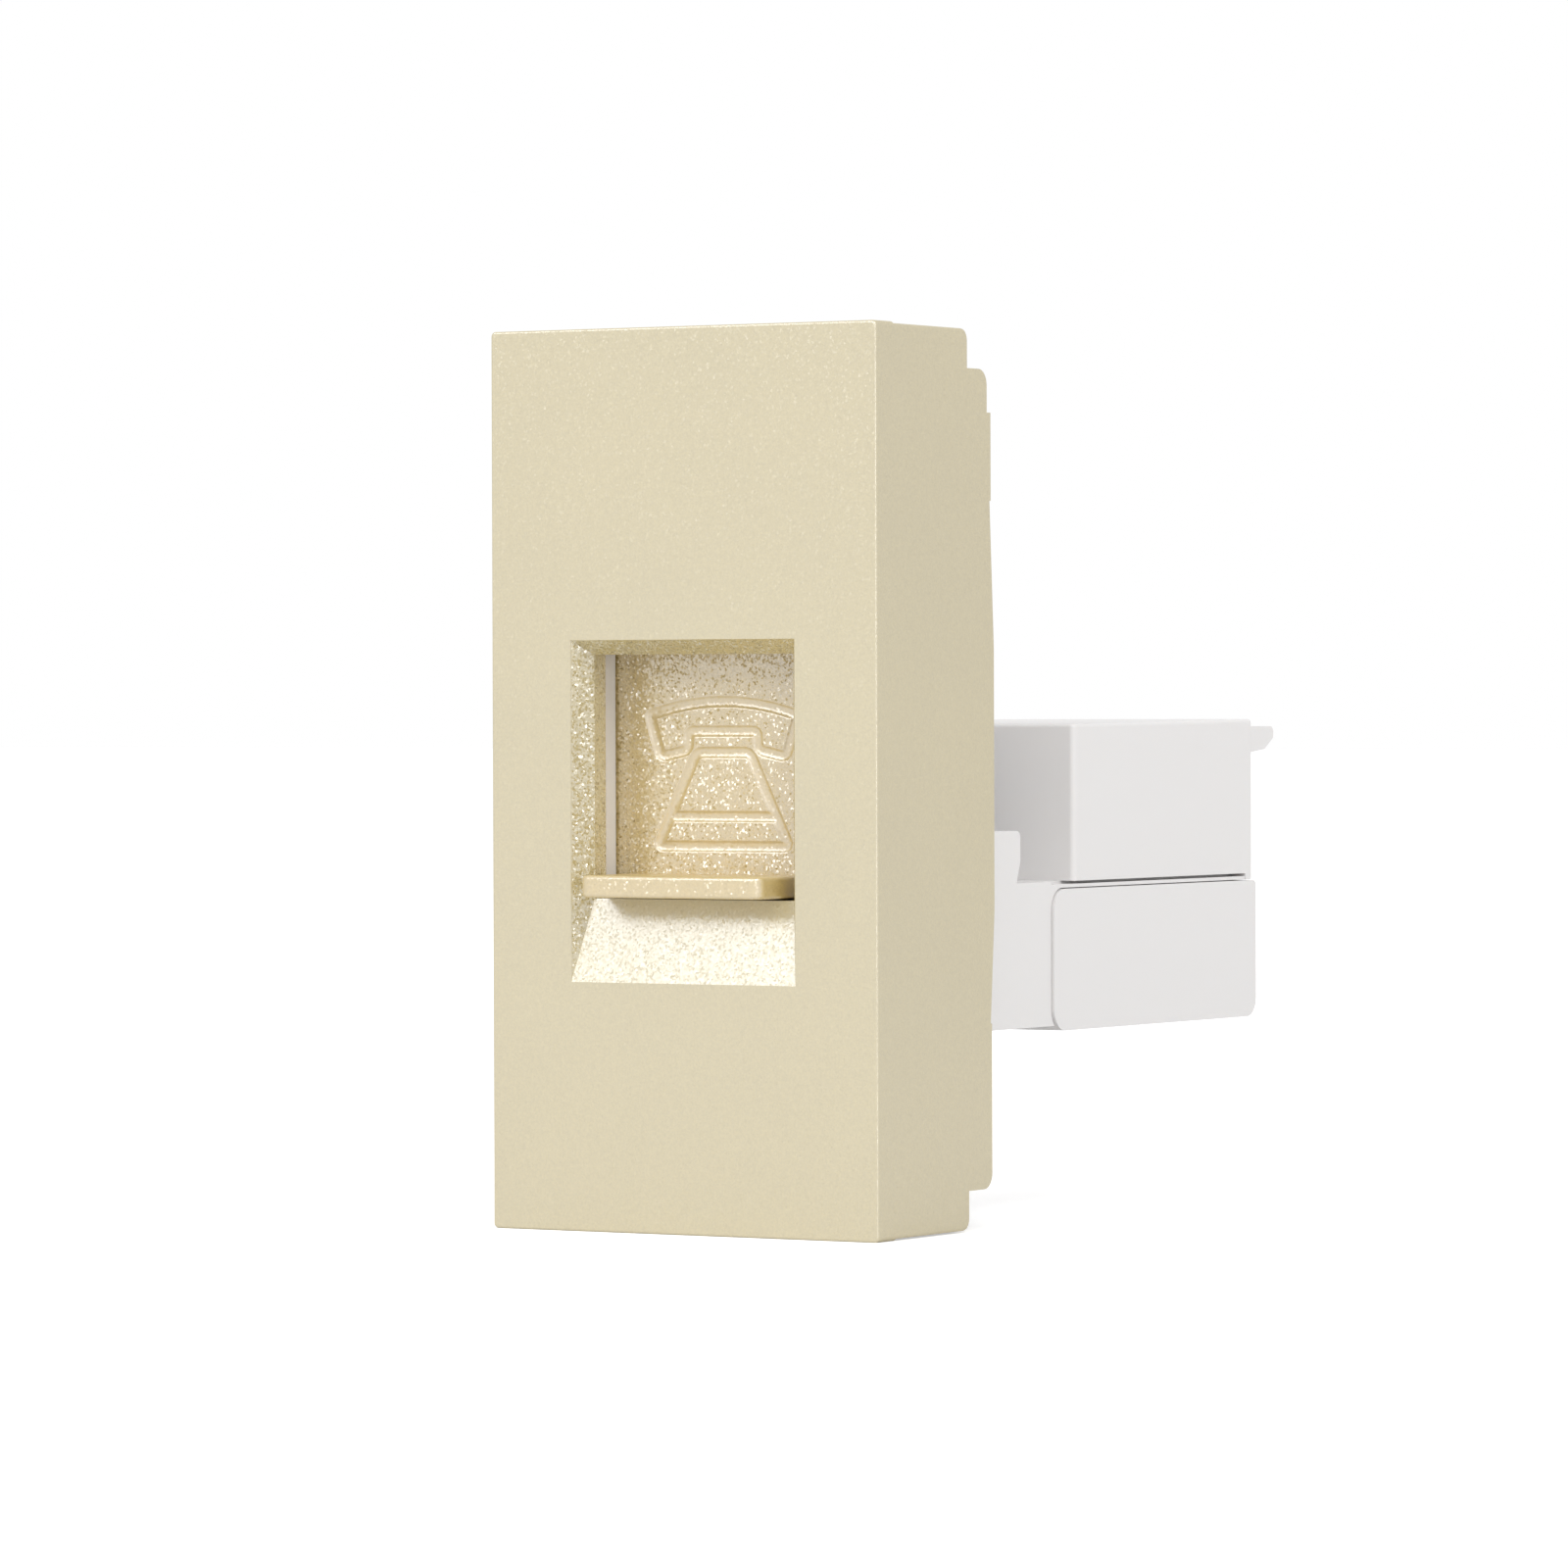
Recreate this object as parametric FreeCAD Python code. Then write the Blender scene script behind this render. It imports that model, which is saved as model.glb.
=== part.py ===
import FreeCAD, Part
import math
import os

# Telephone wall socket: a half-width module that snaps into a support frame.
# A painted cover with a window, a spring-returned sliding shutter behind it, and a
# telephone jack with screwless terminals that stands out into the wall box.
# Millimetres. x runs to the right and z up as the socket is seen from the front.
# y is the depth behind the front face while the pieces are made. At the end every
# piece is moved forward by seat_depth, so that y = 0 is the seat on the support frame.

# Depth that a feature sinks into the piece that carries it, so that they fuse
bite = 0.2

# Cover
module_width = 22.5
module_height = 45.0
face_wall = 1.6
side_wall = 1.2
face_edge_radius = 0.12
corner_radius = 0.25
rim_depth = 1.75
rim_step = 0.1
seat_depth = 8.85
seat_corner_radius = 0.6
cheek_inset = 2.05
cheek_depth = 11.05
cheek_corner_radius = 0.8
cheek_pad_rise = 0.12
cheek_end_drop = 0.25
cheek_end_length = 2.15
cheek_pad_length = 4.4
cheek_lower_pad_length = 8.25
cheek_bulge = 0.4
cheek_bulge_share = 0.32

# Window in the cover, with bevelled edges and a finger slope under it
window_width = 11.66
window_top = 6.28
window_bottom = -5.9
window_depth = 2.13
bevel_width = 0.72
bevel_depth = 1.1
slope_height = 4.15
window_land = 2.3
land_corner_radius = 0.8

# Snap arms that hold the module in the support frame
frame_thickness = 1.2
frame_gap = 0.25
arm_width = 7.0
arm_thickness = 1.2
arm_root_radius = 0.5
tooth_height = 1.1
tooth_length = 1.5
tooth_point = 0.3
tooth_end_step = 0.2
release_notch_width = 8.0
release_notch_depth = 1.65

# Heat-staked posts that hold the carrier and the guide plate to the cover
post_diameter = 1.6
post_drop = 2.7
post_clearance = 0.1
post_pad_width = 3.2
stake_head_diameter = 2.6
stake_head_height = 0.6

# Carrier: the white frame that the shutter slides in
carrier_gap = 0.2
carrier_front_wall = 1.62
carrier_pocket_depth = 2.3
carrier_edge_wall = 0.65
carrier_arm_gap = 0.8
carrier_top_margin = 2.3
carrier_bottom_margin = 1.8
plate_corner_radius = 0.6
carrier_window_gap = 0.45
slide_clearance = 0.15

# Shutter
spring_bay_width = 2.2
shutter_thickness = 1.2
shutter_overlap = 0.92
shutter_stop_gap = 0.1
shutter_top_gap = 0.3
ledge_width = 10.5
ledge_thickness = 1.1
ledge_proud = 1.3
ledge_corner_radius = 0.55
lug_height = 1.9
edge_softening = 0.2

# Return springs
spring_diameter = 1.8
spring_wire = 0.26
spring_turns = 8
spring_steps_per_turn = 9
spring_section_sides = 5
pocket_top_margin = 6.0
peg_diameter = 1.0
peg_end_gap = 3.0

# Guide plate behind the shutter, with a collar for the nose of the jack
guide_plate_thickness = 1.2
guide_rib_width = 1.2
guide_rib_inset = 0.4
guide_frame_margin = 1.0
collar_side_gap = 1.7
collar_wall = 1.0
collar_length = 7.95
collar_gap = 0.1
collar_radius = 0.8

# Telephone port for a six-position plug
port_width = 9.9
port_top = 3.7
port_height = 6.75
port_depth = 8.75
latch_channel_width = 6.4
latch_channel_depth = 1.65
port_lead_in = 0.1
comb_slot_depth = 2.4

# Jack body: nose, lower body and deck
nose_edge_radius = 0.5
nose_top = 5.6
nose_bottom = -5.42
nose_length = 11.15
latch_ramp_width = 3.0
latch_ramp_inset = 0.9
latch_ramp_height = 0.5
latch_ramp_length = 1.8
latch_ramp_start = 4.35
latch_ramp_flat = 0.1
latch_slot_gap = 0.2
body_overhang = 0.75
body_front = 15.4
body_rear = 44.95
body_bottom = -12.85
deck_lip_drop = 0.15
deck_thickness = 1.5
body_wall = 1.0
cheek_tab_rear = 19.77
cheek_tab_top = -2.74
cheek_tab_radius = 0.35
cheek_tab_foot = 0.4
cheek_tab_foot_height = 1.1
cheek_tab_foot_radius = 0.8
board_ledge = 0.5
board_front_room = 2.1
board_mouth_inset = 0.6

# Bottom cover of the jack
tray_front = 23.0
tray_proud = 0.15
tray_drop = 0.27
tray_top = -5.8
tray_wall = 0.9
tray_front_radius = 1.15
tray_rear_radius = 1.0
fit_gap = 0.05
cover_gap = 0.1
tray_rib_width = 0.6
tray_rib_inset = 0.2
tray_rib_end = 1.2

# Terminal cover of the jack
lid_front = 25.4
lid_top = 2.72
lid_rise = 0.16
lid_wall = 1.0
lid_rear_proud = 0.12
lid_edge_radius = 0.3
lid_top_radius = 0.2
lid_gap = 0.15
finger_length = 4.08
finger_root = 1.4
finger_width = 1.5
finger_height = 1.4
finger_inset = 0.9
finger_drop = 0.25
finger_tip_radius = 0.35
finger_slant = 0.16
finger_nose_length = 1.05
finger_nose_rise = 0.62
finger_end_radius = 0.3
finger_under_radius = 0.25
cable_width = 5.0
cable_height = 4.6
cable_corner_radius = 1.2
cable_groove_rise = 1.0

# Terminal block and its insulation-displacement forks
block_top = 0.6
block_corner_radius = 0.5
wire_channel_share = 0.335
wire_channel_end_wall = 1.9
wire_slot_width = 1.1
wire_slot_depth = 4.0
fork_share = 0.42
fork_first_y = 31.5
fork_pitch_y = 6.0
fork_width = 3.2
fork_corner_radius = 0.3
fork_thickness = 0.5
fork_mouth = 1.4
fork_slot = 0.35
fork_slot_depth = 4.2
fork_gap = 0.1
fork_drop = 0.4
pin_width = 0.8
pin_spacing = 1.8
pin_stand_out = 0.7
presser_width = 0.8
presser_length = 3.6

# Circuit board
board_thickness = 1.2
board_z = -8.4
board_gap = 0.1
board_corner_radius = 0.4
solder_hole_gap = 0.1

# Contact wires and the carrier that holds their tails
contact_pitch = 1.02
contact_width = 0.45
contact_thickness = 0.3
contact_run_z = 4.95
contact_fold_radius = 0.55
contact_fold_inset = 1.5
contact_slope = 14.0
contact_tail_radius = 0.7
contact_slot_gap = 0.08
contact_fold_room = 2.2
contact_carrier_width = 6.6
contact_carrier_thickness = 1.45
contact_carrier_radius = 0.3
contact_carrier_gap = 0.1
port_end_wall = 0.75

# Values that follow from the sizes above
half_width = module_width / 2
half_height = module_height / 2
cavity_half_width = half_width - side_wall
cheek_half_height = half_height - cheek_inset
arm_outer = cheek_half_height - frame_gap
arm_inner = arm_outer - arm_thickness
wall_inner_z = half_height - rim_step - side_wall
carrier_half_width = cavity_half_width - carrier_gap
carrier_top = arm_inner - carrier_arm_gap
post_top_z = carrier_top - carrier_top_margin
post_bottom_z = window_bottom - post_drop
carrier_bottom = post_bottom_z - carrier_bottom_margin
pocket_front = window_depth + carrier_front_wall
pocket_rear = pocket_front + carrier_pocket_depth
shutter_front = pocket_front + slide_clearance
shutter_rear = shutter_front + shutter_thickness
shutter_bottom = window_bottom + shutter_stop_gap
shutter_top = window_top + shutter_overlap
pocket_half_width = carrier_half_width - carrier_edge_wall
shutter_half_width = pocket_half_width - spring_bay_width
channel_half_width = shutter_half_width + slide_clearance
post_x = (channel_half_width + carrier_half_width) / 2
lug_top = shutter_bottom + lug_height
lug_half_width = pocket_half_width - slide_clearance
lug_rear = pocket_rear - slide_clearance
pocket_top = carrier_top - pocket_top_margin
spring_rest_length = pocket_top - lug_top
shutter_travel = carrier_top - shutter_top - shutter_top_gap
peg_length = (spring_rest_length - shutter_travel - peg_end_gap) / 2
spring_x = (lug_half_width + shutter_half_width) / 2 + slide_clearance / 2
spring_y = (pocket_front + pocket_rear) / 2
plate_rear = pocket_rear + guide_plate_thickness
rib_front = shutter_rear + slide_clearance
port_bottom = port_top - port_height
latch_channel_bottom = port_bottom - latch_channel_depth
port_end = plate_rear + port_depth
nose_half_width = cavity_half_width - collar_side_gap - collar_wall - collar_gap
nose_rear = plate_rear + nose_length
body_half_width = nose_half_width + body_overhang
deck_top = nose_bottom
deck_bottom = deck_top - deck_thickness
lip_top = deck_top - deck_lip_drop
tray_half_width = body_half_width + tray_proud
tray_bottom = body_bottom - tray_drop
tray_rear = body_rear + tray_proud
tray_inner_half_width = tray_half_width - tray_wall
tray_floor = tray_bottom + tray_wall
core_half_width = tray_inner_half_width - cover_gap
core_bottom = tray_floor + cover_gap
core_rear = tray_rear - tray_wall - cover_gap
inner_half_width = core_half_width - body_wall
board_bottom = board_z - board_thickness
lid_half_width = body_half_width
lid_inner_half_width = lid_half_width - lid_wall
lid_roof = lid_top - lid_wall
lid_rear = body_rear + lid_rear_proud
skirt_front = core_rear + cover_gap
skirt_bottom = tray_top + fit_gap
block_half_width = lid_inner_half_width - lid_gap
wire_channel_half = block_half_width * wire_channel_share
fork_x = wire_channel_half + (block_half_width - wire_channel_half) * fork_share
block_front = lid_front + lid_wall + lid_gap
block_rear = lid_rear - lid_wall - lid_gap
fork_top = block_top - fork_drop
contact_pocket_front = port_end + port_end_wall
contact_tail_y = contact_pocket_front + contact_carrier_thickness / 2
contact_slot_half = contact_width / 2 + contact_slot_gap


def vec(x, y, z):
    return FreeCAD.Vector(x, y, z)


def block(x, y, z):
    """Box between three (low, high) spans."""
    return Part.makeBox(x[1] - x[0], y[1] - y[0], z[1] - z[0], vec(x[0], y[0], z[0]))


def centred(width, middle=0.0):
    """Span of a width about its middle."""
    return (middle - width / 2, middle + width / 2)


def in_space(axis, a, b, level):
    """Point of an outline drawn across one axis, at a level along it."""
    if axis == "x":
        return vec(level, a, b)
    if axis == "y":
        return vec(a, level, b)
    return vec(a, b, level)


def rounded_wire(corners, axis, level):
    """Closed wire through (a, b) or (a, b, radius) corners, with an arc at each radius."""
    points = [vec(corner[0], corner[1], 0) for corner in corners]
    radii = [corner[2] if len(corner) > 2 else 0.0 for corner in corners]
    stretches = []
    for i, here in enumerate(points):
        back = (points[i - 1] - here).normalize()
        ahead = (points[(i + 1) % len(points)] - here).normalize()
        if radii[i] == 0:
            stretches.append([here])
            continue
        half_angle = back.getAngle(ahead) / 2
        reach = radii[i] / math.tan(half_angle)
        rise = radii[i] / math.sin(half_angle) - radii[i]
        middle = here + (back + ahead).normalize() * rise
        stretches.append([here + back * reach, middle, here + ahead * reach])
    edges = []
    for i, stretch in enumerate(stretches):
        placed = [in_space(axis, point.x, point.y, level) for point in stretch]
        if len(placed) == 3:
            edges.append(Part.Arc(placed[0], placed[1], placed[2]).toShape())
        target = stretches[(i + 1) % len(stretches)][0]
        start = placed[-1]
        end = in_space(axis, target.x, target.y, level)
        if start.distanceToPoint(end) > 1e-6:
            edges.append(Part.LineSegment(start, end).toShape())
    return Part.Wire(edges)


def prism(corners, axis, span):
    """Solid of an outline across one axis, between two levels along it."""
    face = Part.Face(rounded_wire(corners, axis, span[0]))
    return face.extrude(in_space(axis, 0, 0, span[1] - span[0]))


def rectangle(a, b, radius=0.0):
    """Corners of a rectangle between two spans."""
    return [(a[0], b[0], radius), (a[1], b[0], radius), (a[1], b[1], radius), (a[0], b[1], radius)]


def rod(diameter, start, along):
    """Cylinder from a start point along a vector."""
    return Part.makeCylinder(diameter / 2, along.Length, start, along)


def mirrored_x(shape):
    return shape.mirror(vec(0, 0, 0), vec(1, 0, 0))


def mirrored_z(shape):
    return shape.mirror(vec(0, 0, 0), vec(0, 0, 1))


def pair(shape):
    """A shape and its mirror image on the other side."""
    return [shape, mirrored_x(shape)]


def fused(shapes):
    return shapes[0].fuse(shapes[1:]).removeSplitter()


def softened(shape, radius, chosen):
    """Fillet of the edges that a test chooses."""
    return shape.makeFillet(radius, [edge for edge in shape.Edges if chosen(edge)])


def lies_at(edge, axis, level):
    """True where an edge lies wholly at one level along an axis."""
    box = edge.BoundBox
    low = {"x": box.XMin, "y": box.YMin, "z": box.ZMin}[axis]
    high = {"x": box.XMax, "y": box.YMax, "z": box.ZMax}[axis]
    return abs(low - level) < 1e-4 and abs(high - level) < 1e-4


def runs_along(edge, axis):
    """True where an edge is straight along an axis."""
    box = edge.BoundBox
    spans = {"x": box.XLength, "y": box.YLength, "z": box.ZLength}
    return spans[axis] > 1e-4 and max(spans[other] for other in spans if other != axis) < 1e-4


def post_places():
    """Centres of the heat-staked posts on the face."""
    return [(side * post_x, z) for side in (-1, 1) for z in (post_top_z, post_bottom_z)]


def cover_shell():
    """Side outline of the cover across its width, rounded at the corners and hollowed from behind."""
    top = half_height - rim_step
    pad_y = cheek_depth + cheek_pad_rise
    end_y = cheek_depth - cheek_end_drop
    bulge_y = cheek_depth + cheek_bulge
    bulge_z = cheek_half_height * cheek_bulge_share
    pad_top = cheek_half_height - cheek_end_length
    pad_bottom = pad_top - cheek_pad_length
    lower_pad_top = cheek_lower_pad_length - cheek_half_height
    corners = [
        (0, -half_height), (rim_depth, -half_height), (rim_depth, -top),
        (seat_depth, -top, seat_corner_radius), (seat_depth, -cheek_half_height),
        (pad_y, -cheek_half_height, cheek_corner_radius), (pad_y, lower_pad_top),
        (cheek_depth, lower_pad_top), (bulge_y, -bulge_z), (bulge_y, bulge_z),
        (cheek_depth, pad_bottom), (pad_y, pad_bottom), (pad_y, pad_top), (end_y, pad_top),
        (end_y, cheek_half_height, cheek_corner_radius), (seat_depth, cheek_half_height),
        (seat_depth, top, seat_corner_radius), (rim_depth, top), (rim_depth, half_height), (0, half_height)]
    shell = prism(corners, "x", centred(module_width))
    hollow_rear = bulge_y + cheek_bulge
    face = rectangle(centred(module_width), centred(module_height), corner_radius)
    shell = shell.common(prism(face, "y", (0, hollow_rear)))
    shell = softened(shell, face_edge_radius, lambda edge: lies_at(edge, "y", 0))
    hollow = block(centred(2 * cavity_half_width), (face_wall, hollow_rear), centred(2 * wall_inner_z))
    return shell.cut(hollow)


def window_cutter():
    """Bevelled mouth, finger slope and straight opening of the window."""
    outer_x = centred(window_width + 2 * bevel_width)
    outer_z = (window_bottom - slope_height, window_top + bevel_width)
    inner_x = centred(window_width)
    inner_z = (window_bottom, window_top)
    mouth = rounded_wire(rectangle(outer_x, outer_z), "y", 0)
    throat = rounded_wire(rectangle(inner_x, inner_z), "y", bevel_depth)
    bevel = Part.makeLoft([mouth, throat], True, True)
    return bevel.fuse(block(inner_x, (bevel_depth, window_depth), inner_z))


def snap_arm():
    """Springy arm with a tooth, rooted in the face wall, that grips the support frame."""
    catch_y = seat_depth + frame_thickness
    tooth_end = catch_y + tooth_length
    corners = [
        (face_wall - bite, arm_inner), (tooth_end, arm_inner, tooth_point),
        (tooth_end, arm_outer - tooth_end_step),
        (catch_y + tooth_point, arm_outer + tooth_height, tooth_point / 2),
        (catch_y, arm_outer + tooth_height), (catch_y, arm_outer), (face_wall - bite, arm_outer)]
    arm = prism(corners, "x", centred(arm_width))
    root = (face_wall - bite, face_wall + arm_root_radius)
    foot_top = arm_outer + arm_root_radius
    foot = [
        (root[0], arm_inner - arm_root_radius), (face_wall, arm_inner - arm_root_radius),
        (root[1], arm_inner), (root[1], arm_outer), (face_wall, foot_top), (root[0], foot_top)]
    return arm.fuse(prism(foot, "x", centred(arm_width)))


def staked_post(x, z):
    """Post through the carrier and the guide plate, with its end melted to a flat head."""
    start = vec(x, face_wall - bite, z)
    shank = rod(post_diameter, start, vec(0, plate_rear - start.y, 0))
    head = rod(stake_head_diameter, vec(x, plate_rear, z), vec(0, stake_head_height, 0))
    return fused([shank, head])


def make_front_cover():
    land_x = centred(window_width + 2 * window_land)
    land_z = (window_bottom - slope_height - bevel_width, window_top + window_land)
    land_y = (face_wall - bite, window_depth)
    pieces = [cover_shell(), prism(rectangle(land_x, land_z, land_corner_radius), "y", land_y)]
    for z in (post_top_z, post_bottom_z):
        pad_x = (post_x - post_pad_width / 2, cavity_half_width + bite)
        pieces += pair(block(pad_x, land_y, centred(post_pad_width, z)))
        pieces += pair(staked_post(post_x, z))
    arm = snap_arm()
    pieces += [arm, mirrored_z(arm)]
    cover = fused(pieces).cut(window_cutter())
    notch_y = (seat_depth - release_notch_depth, cheek_depth)
    notch = block(centred(release_notch_width), notch_y, (wall_inner_z - bite, half_height))
    return cover.cut([notch, mirrored_z(notch)])


def make_shutter_carrier():
    y = (window_depth, pocket_rear)
    z = (carrier_bottom, carrier_top)
    carrier = prism(rectangle(centred(2 * carrier_half_width), z, plate_corner_radius), "y", y)
    pocket_y = (pocket_front, pocket_rear)
    spring_zone = block(centred(2 * pocket_half_width), pocket_y, (window_bottom, pocket_top))
    upper_zone = block(centred(2 * channel_half_width), pocket_y, (window_bottom, carrier_top))
    view_x = centred(window_width + 2 * carrier_window_gap)
    view = block(view_x, (window_depth, pocket_front), (window_bottom, window_top + carrier_window_gap))
    holes = []
    for x, z in post_places():
        holes.append(rod(post_diameter + 2 * post_clearance, vec(x, window_depth, z), vec(0, pocket_rear, 0)))
    carrier = carrier.cut([spring_zone, upper_zone, view] + holes)
    peg = rod(peg_diameter, vec(spring_x, spring_y, pocket_top), vec(0, 0, -peg_length))
    return fused([carrier] + pair(peg))


def make_shutter():
    z = (shutter_bottom, shutter_top)
    plate = block(centred(2 * shutter_half_width), (shutter_front, shutter_rear), z)
    ledge_corners = [
        (-ledge_width / 2, shutter_rear), (-ledge_width / 2, -ledge_proud, ledge_corner_radius),
        (ledge_width / 2, -ledge_proud, ledge_corner_radius), (ledge_width / 2, shutter_rear)]
    ledge = prism(ledge_corners, "z", (shutter_bottom, shutter_bottom + ledge_thickness))
    around = lambda edge: edge.BoundBox.ZLength < 1e-4 and edge.BoundBox.YMax < window_depth
    ledge = softened(ledge, edge_softening, around)
    lug_x = (shutter_half_width, lug_half_width)
    lug = block(lug_x, (shutter_front, lug_rear), (shutter_bottom, lug_top))
    peg = rod(peg_diameter, vec(spring_x, spring_y, lug_top - bite), vec(0, 0, peg_length + bite))
    return fused([plate, ledge] + pair(lug) + pair(peg))


def make_spring(side):
    """Compression spring between the shutter's lug and the top of the carrier's pocket."""
    mean_radius = (spring_diameter - spring_wire) / 2
    height = spring_rest_length - spring_wire
    steps = spring_turns * spring_steps_per_turn
    path = []
    for i in range(steps + 1):
        angle = 2 * math.pi * i / spring_steps_per_turn
        path.append(vec(mean_radius * math.cos(angle), mean_radius * math.sin(angle), height * i / steps))
    section = []
    for i in range(spring_section_sides + 1):
        angle = 2 * math.pi * (i + 0.5) / spring_section_sides
        out = mean_radius + spring_wire / 2 * math.cos(angle)
        section.append(vec(out, 0, spring_wire / 2 * math.sin(angle)))
    coil = Part.makePolygon(path).makePipeShell([Part.makePolygon(section)], True, False, 1)
    coil.translate(vec(side * spring_x, spring_y, lug_top + spring_wire / 2))
    return coil


def port_prism(y, grow):
    """Plug opening with the channel for the plug's latch under it."""
    main = block(centred(port_width + 2 * grow), y, (port_bottom - grow, port_top + grow))
    channel_z = (latch_channel_bottom - grow, port_top)
    channel = block(centred(latch_channel_width + 2 * grow), y, channel_z)
    return main.fuse(channel)


def latch_x(grow):
    """Span of the latch ramp on the right of the nose."""
    outer = nose_half_width - latch_ramp_inset
    return (outer - latch_ramp_width - grow, outer + grow)


def make_guide_plate():
    plate_z = (carrier_bottom, carrier_top)
    outline = rectangle(centred(2 * carrier_half_width), plate_z, plate_corner_radius)
    plate = prism(outline, "y", (pocket_rear, plate_rear))
    rib_outer = channel_half_width - guide_rib_inset
    rib_x = (rib_outer - guide_rib_width, rib_outer)
    rib = block(rib_x, (rib_front, pocket_rear), (window_bottom, carrier_top))
    frame_x = centred(2 * rib_outer)
    frame_z = (window_bottom, port_top + guide_frame_margin)
    frame = block(frame_x, (rib_front, pocket_rear), frame_z)
    grow = collar_gap + collar_wall
    collar_y = (plate_rear, plate_rear + collar_length)
    collar_z = (nose_bottom - grow, nose_top + grow)
    collar_x = centred(2 * nose_half_width + 2 * grow)
    collar = prism(rectangle(collar_x, collar_z, collar_radius), "y", collar_y)
    bore_z = (nose_bottom - collar_gap, nose_top + collar_gap)
    bore = block(centred(2 * nose_half_width + 2 * collar_gap), collar_y, bore_z)
    guide = fused([plate, frame] + pair(rib) + [collar.cut(bore)])
    cuts = [port_prism((rib_front, plate_rear), port_lead_in)]
    ramp_y = plate_rear + latch_ramp_start
    slot_y = (ramp_y - latch_slot_gap, ramp_y + latch_ramp_length + fit_gap)
    slot = block(latch_x(latch_slot_gap), slot_y, collar_z)
    cuts += pair(slot)
    for x, z in post_places():
        cuts.append(rod(post_diameter + 2 * post_clearance, vec(x, pocket_rear, z), vec(0, plate_rear, 0)))
    return guide.cut(cuts)


def latch_ramps():
    """Ramps on the top and bottom of the nose that snap into the collar's slots."""
    start = plate_rear + latch_ramp_start
    end = start + latch_ramp_length
    ramps = []
    for surface, way in ((nose_top, 1), (nose_bottom, -1)):
        root = surface - way * bite
        crest = surface + way * latch_ramp_height
        corners = [(start, root), (start, surface), (end - latch_ramp_flat, crest), (end, crest), (end, root)]
        ramps += pair(prism(corners, "x", latch_x(0)))
    return ramps


def contact_places():
    """Centres of the four contacts across the port."""
    return [(i - 1.5) * contact_pitch for i in range(4)]


def contact_cuts():
    """Ceiling grooves, fold slots and comb slots for the contact wires."""
    cuts = []
    fold_y = plate_rear + contact_fold_inset
    groove_floor = contact_run_z - contact_slot_half
    slot_y = (fold_y - contact_fold_radius - contact_slot_half, fold_y + contact_fold_room)
    for x in contact_places():
        span = centred(2 * contact_slot_half, x)
        cuts.append(block(span, (slot_y[0], contact_pocket_front), (groove_floor, nose_top)))
        cuts.append(block(span, slot_y, (port_top, nose_top)))
        comb_z = (port_top - comb_slot_depth, port_top)
        cuts.append(block(span, (port_end, contact_pocket_front - bite), comb_z))
    return cuts


def tray_outline(grow):
    """Side outline of the bottom cover, grown for the recess that it sits in."""
    front = tray_front - grow
    rear = tray_rear + grow
    top = tray_top + grow
    bottom = tray_bottom - grow
    return [
        (front, bottom, tray_front_radius), (rear, bottom, tray_rear_radius),
        (rear, top, tray_wall / 3), (front, top, tray_front_radius)]


def core_block(grow):
    """Part of the lower body that the bottom cover wraps round."""
    x = centred(2 * core_half_width + 2 * grow)
    return block(x, (body_front, core_rear + grow), (core_bottom - grow, deck_top))


def fork_places():
    """Centres of the four terminals on the board."""
    return [(side * fork_x, fork_first_y + row * fork_pitch_y) for side in (-1, 1) for row in (0, 1)]


def terminal_block():
    """Block on the deck with a wire channel, wire slots and fork pockets."""
    y = (block_front, block_rear)
    outline = rectangle(centred(2 * block_half_width), y, block_corner_radius)
    tower = prism(outline, "z", (deck_top - bite, block_top))
    channel_y = (block_front + wire_channel_end_wall, block_rear)
    channel = block(centred(2 * wire_channel_half), channel_y, (deck_top, block_top))
    cuts = [channel]
    for x, y_centre in fork_places():
        span = sorted([x / abs(x) * wire_channel_half, x / abs(x) * block_half_width])
        slot_z = (block_top - wire_slot_depth, block_top)
        cuts.append(block(span, centred(wire_slot_width, y_centre), slot_z))
    return tower.cut(cuts)


def fork_pockets():
    pockets = []
    for x, y in fork_places():
        pocket_x = centred(fork_thickness + 2 * fork_gap, x)
        pocket_y = centred(fork_width + 2 * fork_gap, y)
        pockets.append(block(pocket_x, pocket_y, (board_z, block_top)))
    return pockets


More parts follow.
